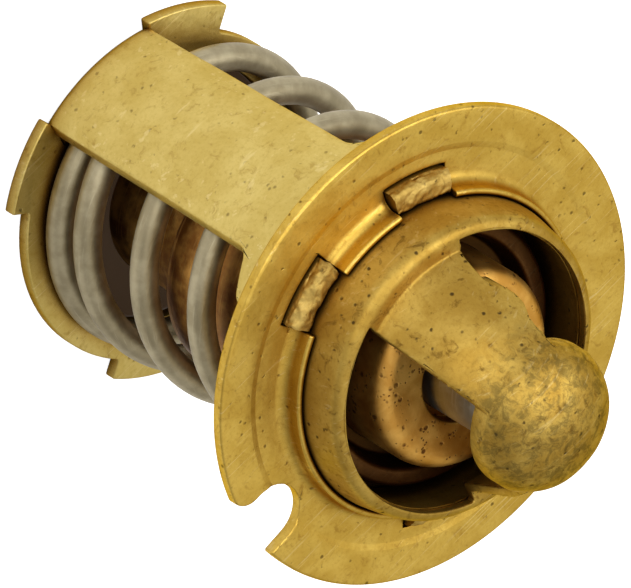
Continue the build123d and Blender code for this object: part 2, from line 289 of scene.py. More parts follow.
floor_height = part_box("spring_cage")[0].z / MM - FLOOR_GAP
floor_mesh = bpy.data.meshes.new("floor")
floor_corners = [
    (x * FLOOR_HALF * MM, y * FLOOR_HALF * MM, floor_height * MM)
    for x, y in ((-1, -1), (1, -1), (1, 1), (-1, 1))
]
floor_mesh.from_pydata(floor_corners, [], [(0, 1, 2, 3)])
floor = bpy.data.objects.new("floor", floor_mesh)
scene.collection.objects.link(floor)

paper = Graph("paper")
# Painted shadow: the paper is dark near the axis, under the cage's ring, in its colour and its glow
# alike.
shade_reach = math.hypot(SHADE_RADIUS, floor_height)
lit = paper.mask(paper.vector("LENGTH", paper.position), shade_reach - SHADE_EDGE, shade_reach)
paper_with_painted_shadow = paper.ramp(lit, (0.0, SHADE_COLOUR), (1.0, FLOOR_COLOUR))
seen = paper.node("ShaderNodeLightPath").outputs["Is Camera Ray"]
glow = paper.node("ShaderNodeMapRange", Value=seen, To_Min=GLOW_TO_PART, To_Max=GLOW_TO_CAMERA)
floor_mesh.materials.append(paper.finish(
    Base_Color=paper_with_painted_shadow, Roughness=0.9,
    Emission_Color=paper_with_painted_shadow, Emission_Strength=glow.outputs["Result"],
))
print("floor at", round(floor_height, 2), "mm")

# %% [markdown]
# ## Aged brass
# Sheet brass that has worked in hot coolant: a satin gold with cloudy tarnish, brown-olive
# stains, small dark pits and faint scratches. Shade is painted into the recesses: a saturated
# orange-brown, because brass that faces brass colours the light twice, with the dirt that stays
# there, and nearly black in the deepest. Ambient occlusion finds them, so no mask has to be drawn.
# The same recipe serves every stamping, with its own colours and amounts, and the nose alone has
# a mottled olive tip.


# %% Aged brass
# Painted shade for recesses, with their dirt, and painted shade for the deepest of them.
RECESS_SHADE_AND_DIRT = (0.33, 0.155, 0.014)
DEEP_RECESS_SHADE = (0.05, 0.024, 0.006)
PIT = (0.05, 0.03, 0.012)
BARE_BRASS = (0.86, 0.72, 0.36)
TIP_STAIN = (0.10, 0.07, 0.02)
TIP_START = 10.5
TIP_END = 14.5
BRASS_TINT = (0.9, 0.66, 0.26)


def aged_brass(name, light, middle, dark, stain, stained, pitted, scratched, roughness,
               tip=0.0, recess_shade=RECESS_SHADE_AND_DIRT):
    """Brass from four colours, and how much of it is stained, pitted and scratched."""
    g = Graph(name)
    clouds = g.noise(3.2, detail=5.0, rough=0.62, distort=0.4)
    grain = g.noise(0.32, detail=3.0, rough=0.7)
    colour = g.mix(g.mask(clouds, 0.36, 0.66), middle, light)
    colour = g.mix(g.math("MULTIPLY", g.mask(grain, 0.45, 0.75), 0.35), colour, dark)
    blotch = g.noise(1.1, detail=4.0, rough=0.7, distort=0.8)
    blotches = g.math("MULTIPLY", g.mask(blotch, 0.54, 0.72), stained)
    colour = g.mix(blotches, colour, stain)
    # A pit is a cell's middle, and the lottery leaves most cells without one.
    spots = g.cells(0.85)
    lottery = g.noise(0.6, detail=1.0)
    pits = g.math("MULTIPLY", g.mask(spots, 0.26, 0.1), g.mask(lottery, 0.5, 0.62))
    pits = g.math("MULTIPLY", pits, pitted)
    colour = g.mix(pits, colour, PIT)
    # Scratches are noise drawn out long, in two directions.
    lines = g.noise(1.0, detail=3.0, rough=0.6, where=g.stretched((0.3, 0.5, 0.9), (0.12, 4.0, 1.2)))
    cross = g.noise(1.0, detail=3.0, rough=0.6, where=g.stretched((1.1, 0.2, 2.3), (0.1, 5.0, 1.0)))
    scratches = g.math("MAXIMUM", g.mask(lines, 0.62, 0.7), g.mask(cross, 0.64, 0.72))
    scratches = g.math("MULTIPLY", scratches, scratched)
    colour = g.mix(g.math("MULTIPLY", scratches, 0.5), colour, BARE_BRASS)
    if tip:
        height = g.node("ShaderNodeSeparateXYZ", Vector=g.position).outputs["Z"]
        mottle = g.mask(g.noise(0.9, detail=5.0, rough=0.75, distort=0.6), 0.42, 0.62)
        mottle = g.math("MULTIPLY", mottle, g.mask(height, TIP_START, TIP_END))
        colour = g.mix(g.math("MULTIPLY", mottle, tip), colour, TIP_STAIN)
    # Painted shade, with dirt: ambient occlusion darkens recesses to orange-brown, the deepest nearly
    # black.
    shade_and_dirt = g.recess_shading(3.0)
    colour = g.mix(g.math("MULTIPLY", g.mask(shade_and_dirt, 0.08, 0.6), 0.85), colour, recess_shade)
    colour = g.mix(g.mask(shade_and_dirt, 0.38, 0.8), colour, DEEP_RECESS_SHADE)
    gloss = g.math("ADD", g.math("MULTIPLY", grain, 0.16), roughness - 0.08)
    gloss = g.math("ADD", gloss, g.math("MULTIPLY", blotches, 0.15))
    relief = g.math("SUBTRACT", g.math("MULTIPLY", grain, 0.4), pits)
    relief = g.math("SUBTRACT", relief, g.math("MULTIPLY", scratches, 0.3))
    fine = g.bump(relief, depth=0.035, strength=0.8)
    waves = g.bump(g.noise(2.2, detail=2.0), depth=0.12, strength=0.5, under=fine)
    return g.finish(
        Base_Color=colour, Roughness=gloss, Metallic=1.0, Specular_Tint=BRASS_TINT, Normal=waves,
    )


flange_brass = aged_brass(
    "flange_brass", (0.62, 0.42, 0.085), (0.52, 0.33, 0.055), (0.36, 0.20, 0.03), (0.22, 0.10, 0.014),
    stained=0.42, pitted=0.7, scratched=0.5, roughness=0.40,
)
dome_brass = aged_brass(
    "dome_brass", (0.48, 0.32, 0.068), (0.37, 0.225, 0.038), (0.24, 0.13, 0.02), (0.13, 0.062, 0.01),
    stained=0.7, pitted=0.9, scratched=0.3, roughness=0.50, tip=0.6,
)
cage_brass = aged_brass(
    "cage_brass", (0.63, 0.49, 0.16), (0.55, 0.41, 0.115), (0.42, 0.29, 0.06), (0.27, 0.15, 0.025),
    stained=0.4, pitted=0.5, scratched=0.6, roughness=0.40,
)
tab_brass = aged_brass(
    "tab_brass", (0.52, 0.37, 0.11), (0.42, 0.28, 0.07), (0.28, 0.17, 0.04), (0.16, 0.08, 0.015),
    stained=0.7, pitted=0.7, scratched=0.1, roughness=0.58,
)
# Painted shade: the valve disc lies in shade deep inside the windows, so all its colours are brass
# darkened to near black.
valve_brass = aged_brass(
    "valve_brass", (0.15, 0.07, 0.022), (0.09, 0.038, 0.013), (0.05, 0.02, 0.008), (0.03, 0.012, 0.005),
    stained=0.5, pitted=0.4, scratched=0.1, roughness=0.45, recess_shade=(0.07, 0.03, 0.008),
)
print("brass finishes made")

# %% [markdown]
# ## Copper-stained guide, dark capsule, steel
# Hot coolant leaches zinc from the element's brass and leaves it copper-red with dark specks.
# The capsule is almost brown, with long bright scratches round it. Wire and piston are plain
# steel, one dull, one ground.


# %% Element finishes
COPPER_TINT = (0.9, 0.55, 0.2)
ROUND_THE_AXIS = (0.25, 0.25, 6.0)


def copper_finish(name, light, dark, speck, specked, roughness):
    """Copper-red metal with coarse and fine dark specks, and painted shade in its recesses."""
    g = Graph(name)
    clouds = g.noise(2.4, detail=4.0, rough=0.6, distort=0.3)
    colour = g.mix(g.mask(clouds, 0.35, 0.68), dark, light)
    coarse = g.mask(g.cells(0.75), 0.36, 0.2)
    fine = g.mask(g.cells(0.35), 0.3, 0.18)
    lottery = g.mask(g.noise(1.1, detail=2.0), 0.48, 0.62)
    specks = g.math("MULTIPLY", g.math("MAXIMUM", coarse, fine), lottery)
    specks = g.math("MULTIPLY", specks, specked)
    colour = g.mix(specks, colour, speck)
    # Painted shade: recesses, found by ambient occlusion, darken towards the speck colour.
    recess_shade = g.mask(g.recess_shading(3.0), 0.25, 0.95)
    colour = g.mix(g.math("MULTIPLY", recess_shade, 0.7), colour, speck)
    gloss = g.math("ADD", g.math("MULTIPLY", clouds, 0.2), roughness - 0.1)
    relief = g.math("SUBTRACT", g.math("MULTIPLY", g.noise(0.3), 0.4), specks)
    return g.finish(
        Base_Color=colour, Roughness=gloss, Metallic=1.0, Specular_Tint=COPPER_TINT,
        Normal=g.bump(relief, depth=0.04, strength=0.7),
    )


def scratched_metal(name, light, dark, scratch, scratched, roughness):
    """Dull metal with long scratches that run round the axis, and painted shade in its recesses."""
    g = Graph(name)
    clouds = g.noise(2.0, detail=4.0, rough=0.6)
    colour = g.mix(g.mask(clouds, 0.35, 0.7), dark, light)
    lines = g.noise(1.0, detail=4.0, rough=0.65, where=g.stretched((0.0, 0.0, 0.0), ROUND_THE_AXIS))
    scratches = g.math("MULTIPLY", g.mask(lines, 0.56, 0.68), scratched)
    colour = g.mix(scratches, colour, scratch)
    # Painted shade: recesses, found by ambient occlusion, darken towards the dark colour.
    recess_shade = g.mask(g.recess_shading(2.0), 0.2, 0.95)
    colour = g.mix(g.math("MULTIPLY", recess_shade, 0.6), colour, dark)
    gloss = g.math("ADD", g.math("MULTIPLY", clouds, 0.2), roughness - 0.1)
    relief = g.bump(lines, depth=0.03, strength=0.6)
    return g.finish(Base_Color=colour, Roughness=gloss, Metallic=1.0, Normal=relief)


guide_brass = copper_finish(
    "guide_brass", (0.72, 0.42, 0.10), (0.54, 0.27, 0.05), (0.09, 0.03, 0.01),
    specked=0.9, roughness=0.44,
)
capsule_copper = scratched_metal(
    "capsule_copper", (0.56, 0.29, 0.07), (0.22, 0.09, 0.02), (0.60, 0.36, 0.11),
    scratched=0.6, roughness=0.42,
)
spring_steel = scratched_metal(
    "spring_steel", (0.45, 0.39, 0.255), (0.32, 0.27, 0.165), (0.52, 0.455, 0.31),
    scratched=0.4, roughness=0.48,
)
piston_steel = scratched_metal(
    "piston_steel", (0.42, 0.41, 0.36), (0.30, 0.28, 0.22), (0.60, 0.58, 0.52),
    scratched=0.4, roughness=0.36,
)
print("element finishes made")

# %% [markdown]
# ## Sealed pieces
# Wax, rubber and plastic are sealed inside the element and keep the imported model's own meshes.
# They only get a finish.


# %% Sealed pieces
def plain_finish(name, light, dark, roughness):
    """A soft two-tone surface with a fine grain."""
    g = Graph(name)
    colour = g.mix(g.noise(1.6, detail=3.0), dark, light)
    relief = g.bump(g.noise(0.25), depth=0.02, strength=0.6)
    return g.finish(Base_Color=colour, Roughness=roughness, Normal=relief)


wax_finish = plain_finish("wax", (0.78, 0.66, 0.47), (0.66, 0.54, 0.36), roughness=0.5)
rubber_finish = plain_finish("rubber", (0.04, 0.04, 0.04), (0.02, 0.02, 0.02), roughness=0.6)
washer_finish = plain_finish("washer_plastic", (0.88, 0.87, 0.83), (0.80, 0.79, 0.74), roughness=0.4)
for node_name, finish in (
    ("wax_charge", wax_finish),
    ("diaphragm", rubber_finish),
    ("plug", rubber_finish),
    ("plug_washer", washer_finish),
):
    node_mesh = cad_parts[node_name].data
    node_mesh.materials.clear()
    node_mesh.materials.append(finish)
print("sealed finishes made")

# %% [markdown]
# ## Shaping helpers
# Turned and drawn pieces are spun from an outline of radius and height, whose corners are
# rounded first. Holes and slots are cut with the boolean modifier, and the cut edges are then
# softened with a small bevel, because no edge on a real stamping is sharp.


# %% Outlines
def rounded(points, steps=5):
    """A closed outline whose corners (x, y, radius) are replaced with arcs."""
    outline = []
    for index, (x, y, radius) in enumerate(points):
        here = Vector((x, y))
        before = Vector(points[index - 1][:2]) - here
        after = Vector(points[(index + 1) % len(points)][:2]) - here
        if radius <= 0 or before.length < 1e-6 or after.length < 1e-6:
            outline.append((x, y))
            continue
        half = before.angle(after) / 2
        back_off = min(radius / math.tan(half), before.length * 0.49, after.length * 0.49)
        radius = back_off * math.tan(half)
        first = here + before.normalized() * back_off
        last = here + after.normalized() * back_off
        inwards = (before.normalized() + after.normalized()).normalized()
        middle = here + inwards * (radius / math.sin(half))
        start = math.atan2(first.y - middle.y, first.x - middle.x)
        sweep = math.atan2(last.y - middle.y, last.x - middle.x) - start
        sweep = (sweep + math.pi) % (2 * math.pi) - math.pi
        for step in range(steps + 1):
            angle = start + sweep * step / steps
            outline.append((middle.x + radius * math.cos(angle), middle.y + radius * math.sin(angle)))
    return outline


def arc(radius, first, last, steps, middle=(0.0, 0.0)):
    """Points on a circle from one angle to another in degrees, both ends included."""
    points = []
    for step in range(steps + 1):
        angle = math.radians(first + (last - first) * step / steps)
        points.append((middle[0] + radius * math.cos(angle), middle[1] + radius * math.sin(angle)))
    return points


def cornered(points, corner):
    """Points of a line with a corner radius each, which is 0 but at its two ends."""
    ends = (0, len(points) - 1)
    return [(x, y, corner if index in ends else 0.0) for index, (x, y) in enumerate(points)]


def divided(outline, longest):
    """The same closed outline, with points added so that no side is longer than this."""
    result = []
    for index, (x, y) in enumerate(outline):
        nx, ny = outline[(index + 1) % len(outline)]
        count = max(1, math.ceil(math.hypot(nx - x, ny - y) / longest))
        for step in range(count):
            result.append((x + (nx - x) * step / count, y + (ny - y) * step / count))
    return result


def make_object(name, vertices, faces, material=None):
    """An object from vertices in millimetres, with its faces turned outwards."""
    mesh = bpy.data.meshes.new(name)
    mesh.from_pydata([(x * MM, y * MM, z * MM) for x, y, z in vertices], [], faces)
    work = bmesh.new()
    work.from_mesh(mesh)
    bmesh.ops.remove_doubles(work, verts=work.verts, dist=1e-7)
    bmesh.ops.recalc_face_normals(work, faces=work.faces)
    work.to_mesh(mesh)
    work.free()
    if material:
        mesh.materials.append(material)
    made = bpy.data.objects.new(name, mesh)
    scene.collection.objects.link(made)
    return made


def spin(name, outline, material, segments=288, first=0.0, sweep=360.0):
    """Turn a closed outline of (radius, height) about the axis, all round or over an angle."""
    full = sweep >= 360
    columns = segments if full else segments + 1
    vertices = []
    for column in range(columns):
        angle = math.radians(first + sweep * column / segments)
        for radius, height in outline:
            vertices.append((radius * math.cos(angle), radius * math.sin(angle), height))
    size = len(outline)
    faces = []
    for column in range(segments):
        here = column * size
        there = ((column + 1) % columns) * size
        for index in range(size):
            after = (index + 1) % size
            faces.append((here + index, here + after, there + after, there + index))
    if not full:
        faces.append(tuple(range(size)))
        faces.append(tuple(range((columns - 1) * size, columns * size)))
    return make_object(name, vertices, faces, material)


def prism(name, outline, low, high, along="Z"):
    """A straight block with this outline, used as a cutter."""
    size = len(outline)
    if along == "Z":
        vertices = [(x, y, low) for x, y in outline] + [(x, y, high) for x, y in outline]
    else:
        vertices = [(x, low, z) for x, z in outline] + [(x, high, z) for x, z in outline]
    faces = [tuple(range(size)), tuple(range(size, 2 * size))]
    for index in range(size):
        after = (index + 1) % size
        faces.append((index, after, size + after, size + index))
    return make_object(name, vertices, faces)


def apply_modifiers(item):
    """Replace an object's mesh with what its modifiers make of it."""
    depsgraph = bpy.context.evaluated_depsgraph_get()
    fresh = bpy.data.meshes.new_from_object(item.evaluated_get(depsgraph))
    fresh.name = item.name
    item.modifiers.clear()
    item.data = fresh


def carve(item, cutter, operation="DIFFERENCE"):
    """Cut one object with another and throw the cutter away."""
    change = item.modifiers.new("carve", "BOOLEAN")
    change.operation = operation
    change.solver = "EXACT"
    change.object = cutter
    apply_modifiers(item)
    bpy.data.objects.remove(cutter)


def soften(item, width, segments=3, angle=32.0):
    """Round the cut edges and shade the piece smoothly."""
    work = bmesh.new()
    work.from_mesh(item.data)
    bmesh.ops.remove_doubles(work, verts=work.verts, dist=0.02 * MM)
    bmesh.ops.dissolve_degenerate(work, edges=work.edges, dist=0.01 * MM)
    work.to_mesh(item.data)
    work.free()
    edge = item.modifiers.new("soften", "BEVEL")
    edge.width = width * MM
    edge.segments = segments
    edge.limit_method = "ANGLE"
    edge.angle_limit = math.radians(angle)
    edge.use_clamp_overlap = False
    apply_modifiers(item)
    smooth(item)


def fade(value, start, length):
    """0 up to a start, 1 past a length from there, and an even rise between."""
    return min(max((value - start) / length, 0.0), 1.0)


def smooth(item, angle=40.0):
    """Smooth shading, with edges sharper than the angle kept."""
    item.data.shade_smooth()
    item.data.set_sharp_from_angle(angle=math.radians(angle))


def unsettle(item, size, depth, seed, where=None):
    """Push the surface in and out a little, as handling and age do."""
    shift = Vector((seed * 7.3, seed * 3.1, seed * 5.7))
    normals = [vertex.normal.copy() for vertex in item.data.vertices]
    for vertex, normal in zip(item.data.vertices, normals):
        spot = vertex.co / MM
        amount = 1.0 if where is None else where(spot)
        if amount:
            push = noise.noise(spot / size + shift) * depth * amount
            vertex.co += normal * push * MM


print("shaping helpers ready")

# %% [markdown]
# ## Flange plate
# One stamping: a disc with a sunk land, a low collar round the hole, four slots for the tabs and
# a round-bottomed notch in the rim. A disc could be cut flat and its collar pulled up by a
# subdivided mesh, but all that is round about the axis is cheaper and truer as one spun outline.
# The openings are then cut through it, as the press did.

# %% Flange plate sizes
FLANGE_RADIUS = 19.0
FLANGE_REAR = -1.0
LAND = -0.12
LAND_RADIUS = 16.2
LAND_INNER = 15.7
COLLAR_BORE = 12.6
COLLAR_RADIUS = 13.1
COLLAR_TOP = 1.6
DOME_FIT = 0.1
CUT_PAST = 1.0
LEG_ANGLES = (-90.0, 90.0)
LEG_RADIUS = 14.5
LEG_BORE = 13.4
TAB_START = 13.9
TAB_SWEEP = 21.7
TAB_CENTRE = TAB_START + TAB_SWEEP / 2
SLOT_HALF = TAB_SWEEP / 2 + 0.6
SLOT_INNER_GAP = 0.08
SLOT_BACK_GAP = 0.2


def sector(inner, outer, first, sweep, steps=40):
    """Outline of a ring sector, its angles in degrees."""
    return arc(outer, first, first + sweep, steps) + arc(inner, first + sweep, first, steps)


print("slot is", round(LEG_RADIUS + SLOT_BACK_GAP - LEG_BORE + SLOT_INNER_GAP, 2), "mm wide")

# %% Flange plate
flange_outline = divided(
    rounded([
        (COLLAR_BORE, FLANGE_REAR, 0.7),
        (FLANGE_RADIUS, FLANGE_REAR, 0.25),
        (FLANGE_RADIUS, 0.0, 0.25),
        (LAND_RADIUS, 0.0, 0.2),
        (LAND_INNER, LAND, 0.3),
        (COLLAR_RADIUS, LAND, 1.1),
        (COLLAR_RADIUS, COLLAR_TOP, 0.24),
        (COLLAR_BORE, COLLAR_TOP, 0.2),
    ]),
    longest=0.7,
)
flange = spin("flange", flange_outline, flange_brass, segments=360)
for leg_angle in LEG_ANGLES:
    for side in (-1, 1):
        first = leg_angle + side * TAB_CENTRE - SLOT_HALF
        slot = sector(LEG_BORE - SLOT_INNER_GAP, LEG_RADIUS + SLOT_BACK_GAP, first, 2 * SLOT_HALF)
        carve(flange, prism("slot", slot, FLANGE_REAR - CUT_PAST, COLLAR_TOP + CUT_PAST))
        seat = sector(COLLAR_BORE - DOME_FIT, LEG_RADIUS, first, 2 * SLOT_HALF)
        carve(flange, prism("seat", seat, LAND, COLLAR_TOP + CUT_PAST))
print("flange with slots, faces", len(flange.data.polygons))

# %% [markdown]
# ## Rim notch
# A notch in the rim lets the thermostat be turned the right way round in its housing. Its sides
# are parallel, its bottom is a half circle, and one of its corners has worn round while the other
# is still sharp. The cutter is drawn along +X and then turned to where the notch stands.

# %% Rim notch
NOTCH_ANGLE = 4.9
NOTCH_HALF = 2.5
NOTCH_DEPTH = 4.6
NOTCH_CORNER = 1.5
CORNER_BLEND = 0.1
NOTCH_MOUTH = FLANGE_RADIUS + 5
notch_root = (FLANGE_RADIUS - NOTCH_DEPTH + NOTCH_HALF, 0.0)
corner_y = -NOTCH_HALF - NOTCH_CORNER
corner_x = math.sqrt((FLANGE_RADIUS - NOTCH_CORNER + CORNER_BLEND) ** 2 - corner_y ** 2)
corner_end = math.degrees(math.atan2(corner_y, corner_x))
notch = [(NOTCH_MOUTH, NOTCH_HALF)]
notch += arc(NOTCH_HALF, 90, 270, 24, notch_root)
notch += arc(NOTCH_CORNER, 90, corner_end, 12, (corner_x, corner_y))
notch.append((NOTCH_MOUTH, notch[-1][1]))
turned = math.radians(NOTCH_ANGLE)
notch = [
    (x * math.cos(turned) - y * math.sin(turned), x * math.sin(turned) + y * math.cos(turned))
    for x, y in notch
]
carve(flange, prism("notch", notch, FLANGE_REAR - CUT_PAST, CUT_PAST))
soften(flange, width=0.1)
RIM_MARGIN = 0.3


def off_rim(spot):
    """Full in the middle of the flange, fading out towards its rim, which stays in the CAD box."""
    return fade(FLANGE_RADIUS - math.hypot(spot.x, spot.y), start=RIM_MARGIN, length=1.5)


unsettle(flange, size=5.0, depth=0.05, seed=1, where=off_rim)
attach(flange, "frame")
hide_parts("flange_plate")
print("flange faces", len(flange.data.polygons))

# %% [markdown]
# ## Bridge dome
# A cup drawn from one sheet: straight wall, rounded shoulder, then the strap's sweep up into the
# nose. The two windows are what a punch took out of it from above: all that lies inside the
# window circle, but outside the strap and the round nose. A strap built by itself would have to
# be joined to cup and nose by hand. Cut from the whole dome, as the real one is, it runs into
# both with no seam, and its edges lie on the same curved sheet.

# %% Bridge dome sizes
CUP_RADIUS = 12.5
DOME_SHEET = 0.8
CUP_BORE = CUP_RADIUS - DOME_SHEET
CUP_TOP_RADIUS = 12.05
SEAT_RADIUS = 13.25
SHOULDER = 4.85
STRAP_FOOT = 10.3
FOOT_SINK = 0.6
FOOT_LEAN = (-0.45, 0.89)
STRAP_WAIST = (7.95, 10.5)
WAIST_NORMAL = (0.93, 0.36)
NOSE_RADIUS = 5.8
NOSE_BASE = 13.4
NOSE_RISE = 3.7
CAP_START = 14.0


def bend_between(start, end, lean_start, lean_end, steps):
    """A smooth line between two points that leaves and arrives in given directions."""
    reach = (end - start).length
    line = []
    for step in range(steps):
        t = step / steps
        from_start = 2 * t ** 3 - 3 * t ** 2 + 1
        from_end = -2 * t ** 3 + 3 * t ** 2
        leaving = (t ** 3 - 2 * t ** 2 + t) * reach
        arriving = (t ** 3 - t ** 2) * reach
        line.append(from_start * start + leaving * lean_start + from_end * end + arriving * lean_end)
    return line


def dome_line(inset, steps=20):
    """The strap's sweep and the nose's cap, from the foot of the strap to the axis."""
    foot = Vector((STRAP_FOOT - inset * FOOT_SINK, SHOULDER - inset))
    waist = Vector([at - inset * lean for at, lean in zip(STRAP_WAIST, WAIST_NORMAL)])
    wide = NOSE_RADIUS - inset
    tall = NOSE_RISE - inset
    start = math.radians(CAP_START)
    top = Vector((wide * math.cos(start), NOSE_BASE + tall * math.sin(start)))
    lean_top = Vector((-wide * math.sin(start), tall * math.cos(start))).normalized()
    lean_waist = (top - foot).normalized()
    line = bend_between(foot, waist, Vector(FOOT_LEAN), lean_waist, steps)
    line += bend_between(waist, top, lean_waist, lean_top, steps)
    for step in range(steps + 1):
        angle = start + (math.pi / 2 - start) * step / steps
        line.append(Vector((wide * math.cos(angle), NOSE_BASE + tall * math.sin(angle))))
    return [(point.x, point.y) for point in line]


print("dome line has", len(dome_line(0.0)), "points")

# %% Bridge dome
cup = rounded([
    (CUP_TOP_RADIUS, SHOULDER, 0.9),
    (CUP_RADIUS, COLLAR_TOP, 0),
    (CUP_RADIUS, FLANGE_REAR, 0.5),
    (SEAT_RADIUS, FLANGE_REAR, 0.1),
    (SEAT_RADIUS, FLANGE_REAR - DOME_SHEET, 0.1),
    (CUP_BORE, FLANGE_REAR - DOME_SHEET, 0.7),
    (CUP_BORE, COLLAR_TOP, 0),
    (CUP_TOP_RADIUS - DOME_SHEET, SHOULDER - DOME_SHEET, 0),
    (STRAP_FOOT - DOME_SHEET * FOOT_SINK + 0.2, SHOULDER - DOME_SHEET, 0),
    (STRAP_FOOT, SHOULDER, 0),
])[:-2]
dome_outline = cup + dome_line(DOME_SHEET) + list(reversed(dome_line(0.0)))
dome = spin("dome", divided(dome_outline, longest=0.6), dome_brass, segments=288)
print("dome before its windows, faces", len(dome.data.polygons))

# %% [markdown]
# ## Windows
# The strap narrows from its feet to the nose. On its far side the punch tore the edge, which
# bulges and dips by half a millimetre, so the cutter on that side carries a few points for it.

# %% Windows
WINDOW_RADIUS = 11.2
WINDOW_FLOOR = 2.0
WINDOW_TOP = 20.0
WINDOW_CORNER = 0.8
STRAP_NECK = 3.4
STRAP_ROOT = 5.0
STRAP_FLARE = 3.0
ROOT_Y = 10.14
NECK_Y = 4.63
TORN_CORNER = 0.25
TORN_EDGE = (
    (-9.6, 0.15), (-9.1, -0.2), (-8.4, -0.4), (-8.0, -0.45),
    (-7.4, 0.3), (-6.9, 0.55), (-6.5, 0.5), (-6.1, -0.05),
)


def strap_half(y):
    """Half the strap's width, which grows towards its two feet."""
    return STRAP_NECK + (STRAP_ROOT - STRAP_NECK) * (abs(y) - STRAP_FLARE) / (CUP_RADIUS - STRAP_FLARE)


def window_outline(side):
    """Edge of one window seen from above: round the window circle, then along strap and nose."""
    root = math.atan2(ROOT_Y, strap_half(ROOT_Y))
    neck = math.atan2(NECK_Y, strap_half(NECK_Y))
    points = []
    for radius, half, steps in ((WINDOW_RADIUS, root, 60), (NOSE_RADIUS, -neck, 40)):
        angles = [-half + 2 * half * step / steps for step in range(steps + 1)]
        edge = [(radius * math.cos(angle), radius * math.sin(angle)) for angle in angles]
        points += cornered(edge, WINDOW_CORNER)
    if side < 0:
        points += [(strap_half(y) + bulge, y, TORN_CORNER) for y, bulge in reversed(TORN_EDGE)]
    return [(side * x, y) for x, y in rounded(points, steps=6)]


for side in (-1, 1):
    carve(dome, prism("window", window_outline(side), WINDOW_FLOOR, WINDOW_TOP))
soften(dome, width=0.14)
NOSE_TIP = NOSE_BASE + NOSE_RISE


def above_collar(spot):
    """Nothing where the cup sits in the collar, full on the strap, and little at the nose's tip."""
    return fade(spot.z, start=1.8, length=1.5) * fade(NOSE_TIP - spot.z, start=0.0, length=1.5)


unsettle(dome, size=3.5, depth=0.09, seed=2, where=above_collar)
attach(dome, "frame")
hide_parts("bridge_dome")
print("dome faces", len(dome.data.polygons))

# %% [markdown]
# ## Spring cage
# One stamping again: a flat ring with an ear at each side of each leg, and two legs rolled to
# the cage's radius. A flat leg bent by a modifier would stretch at its wide shoulders. So a wall
# is spun at the right radius, and the flat outline of the blank is punched through it from the
# side. Ring and legs are softened apart and then laid into one mesh, because a bevel along the
# thin line where they meet folds over itself.

# %% Spring cage sizes
RING_REAR = -31.4
CAGE_SHEET = 1.1
RING_FRONT = RING_REAR + CAGE_SHEET
RING_RADIUS = 13.45
RING_RADIUS_BENT = 12.8
RING_HOLE = 10.31
RING_UNDERLAP = 0.3
HAIR = 0.02
EAR_RADIUS = 15.0
EAR_ANGLE = 50.0
LEG_HALF = 5.25
LEG_TOP_HALF = 5.55
SHOULDER_ANGLE = 37.5
SHOULDER_LOW = -6.9
SHOULDER_HIGH = -5.7
FOOT_START = LEG_BORE - 1.2
SIDE_REACH = 20.0
CAGE_EDGE = 0.14
print("cage from", RING_REAR, "to", FLANGE_REAR, "mm")

# %% Legs
wall_outline = divided(
    rounded([
        (FOOT_START, RING_REAR, 0),
        (LEG_RADIUS, RING_REAR, 1.4),
        (LEG_RADIUS, FLANGE_REAR, 0),
        (LEG_BORE, FLANGE_REAR, 0),
        (LEG_BORE, RING_FRONT, 0.4),
        (FOOT_START, RING_FRONT, 0),
    ]),
    longest=1.0,
)
legs = spin("cage", wall_outline, cage_brass, segments=288)
shoulder_half = LEG_RADIUS * math.sin(math.radians(SHOULDER_ANGLE))
leg_blank = rounded([
    (-LEG_HALF, RING_REAR - CUT_PAST, 0),
    (LEG_HALF, RING_REAR - CUT_PAST, 0),
    (LEG_TOP_HALF, SHOULDER_LOW, 1.2),
    (shoulder_half, SHOULDER_HIGH, 0.9),
    (shoulder_half, FLANGE_REAR + CUT_PAST, 0),
    (-shoulder_half, FLANGE_REAR + CUT_PAST, 0),
    (-shoulder_half, SHOULDER_HIGH, 0.9),
    (-LEG_TOP_HALF, SHOULDER_LOW, 1.2),
])
carve(legs, prism("leg_blank", leg_blank, -SIDE_REACH, SIDE_REACH, along="Y"), "INTERSECT")
soften(legs, width=CAGE_EDGE)
print("leg faces", len(legs.data.polygons))


# %% Ring
def ring_blank(steps=24):
    """Outline of the rear ring, a little narrow at -X, with an ear at each side of each leg."""
    points = []
    leg_edge = math.degrees(math.asin(LEG_HALF / LEG_RADIUS))
    for leg, far_radius in zip(LEG_ANGLES, (RING_RADIUS, RING_RADIUS_BENT)):
        spans = (
            (leg - EAR_ANGLE, leg - leg_edge, EAR_RADIUS, 0.7),
            (leg - leg_edge, leg + leg_edge, LEG_BORE - RING_UNDERLAP, 0.1),
            (leg + leg_edge, leg + EAR_ANGLE, EAR_RADIUS, 0.7),
            (leg + EAR_ANGLE, leg + 180 - EAR_ANGLE, far_radius, 0.3),
        )
        for first, last, radius, corner in spans:
            points += cornered(arc(radius, first, last, steps), corner)
    return rounded(points, steps=5)


# Under each leg the plate stops inside the wall's rolled foot, a hair thinner than the foot,
# so that no two faces of the two shells lie in one plane.
ring = prism("ring", ring_blank(), RING_REAR + HAIR, RING_FRONT - HAIR)
hole = arc(RING_HOLE, 0.0, 358.0, 179)
carve(ring, prism("hole", hole, RING_REAR - CUT_PAST, RING_FRONT + CUT_PAST))
soften(ring, width=CAGE_EDGE)
shells = bmesh.new()
shells.from_mesh(legs.data)
shells.from_mesh(ring.data)
shells.to_mesh(legs.data)
shells.free()
bpy.data.objects.remove(ring)
smooth(legs)


def off_foot(spot):
    """Nothing at the ring's flat rear and under the flange, full on the legs."""
    return fade(spot.z, start=RING_FRONT, length=1.0) * fade(FLANGE_REAR - spot.z, start=0.0, length=2.0)


unsettle(legs, size=6.0, depth=0.06, seed=3, where=off_foot)
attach(legs, "frame")
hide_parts("spring_cage")
print("cage faces", len(legs.data.polygons))

# %% [markdown]
# ## Geometry Nodes helper
# Repeated and rule-bound pieces are made with Geometry Nodes. The helper gives every tree named
# inputs, so that the numbers of a piece stand together, and it runs the tree on an object.


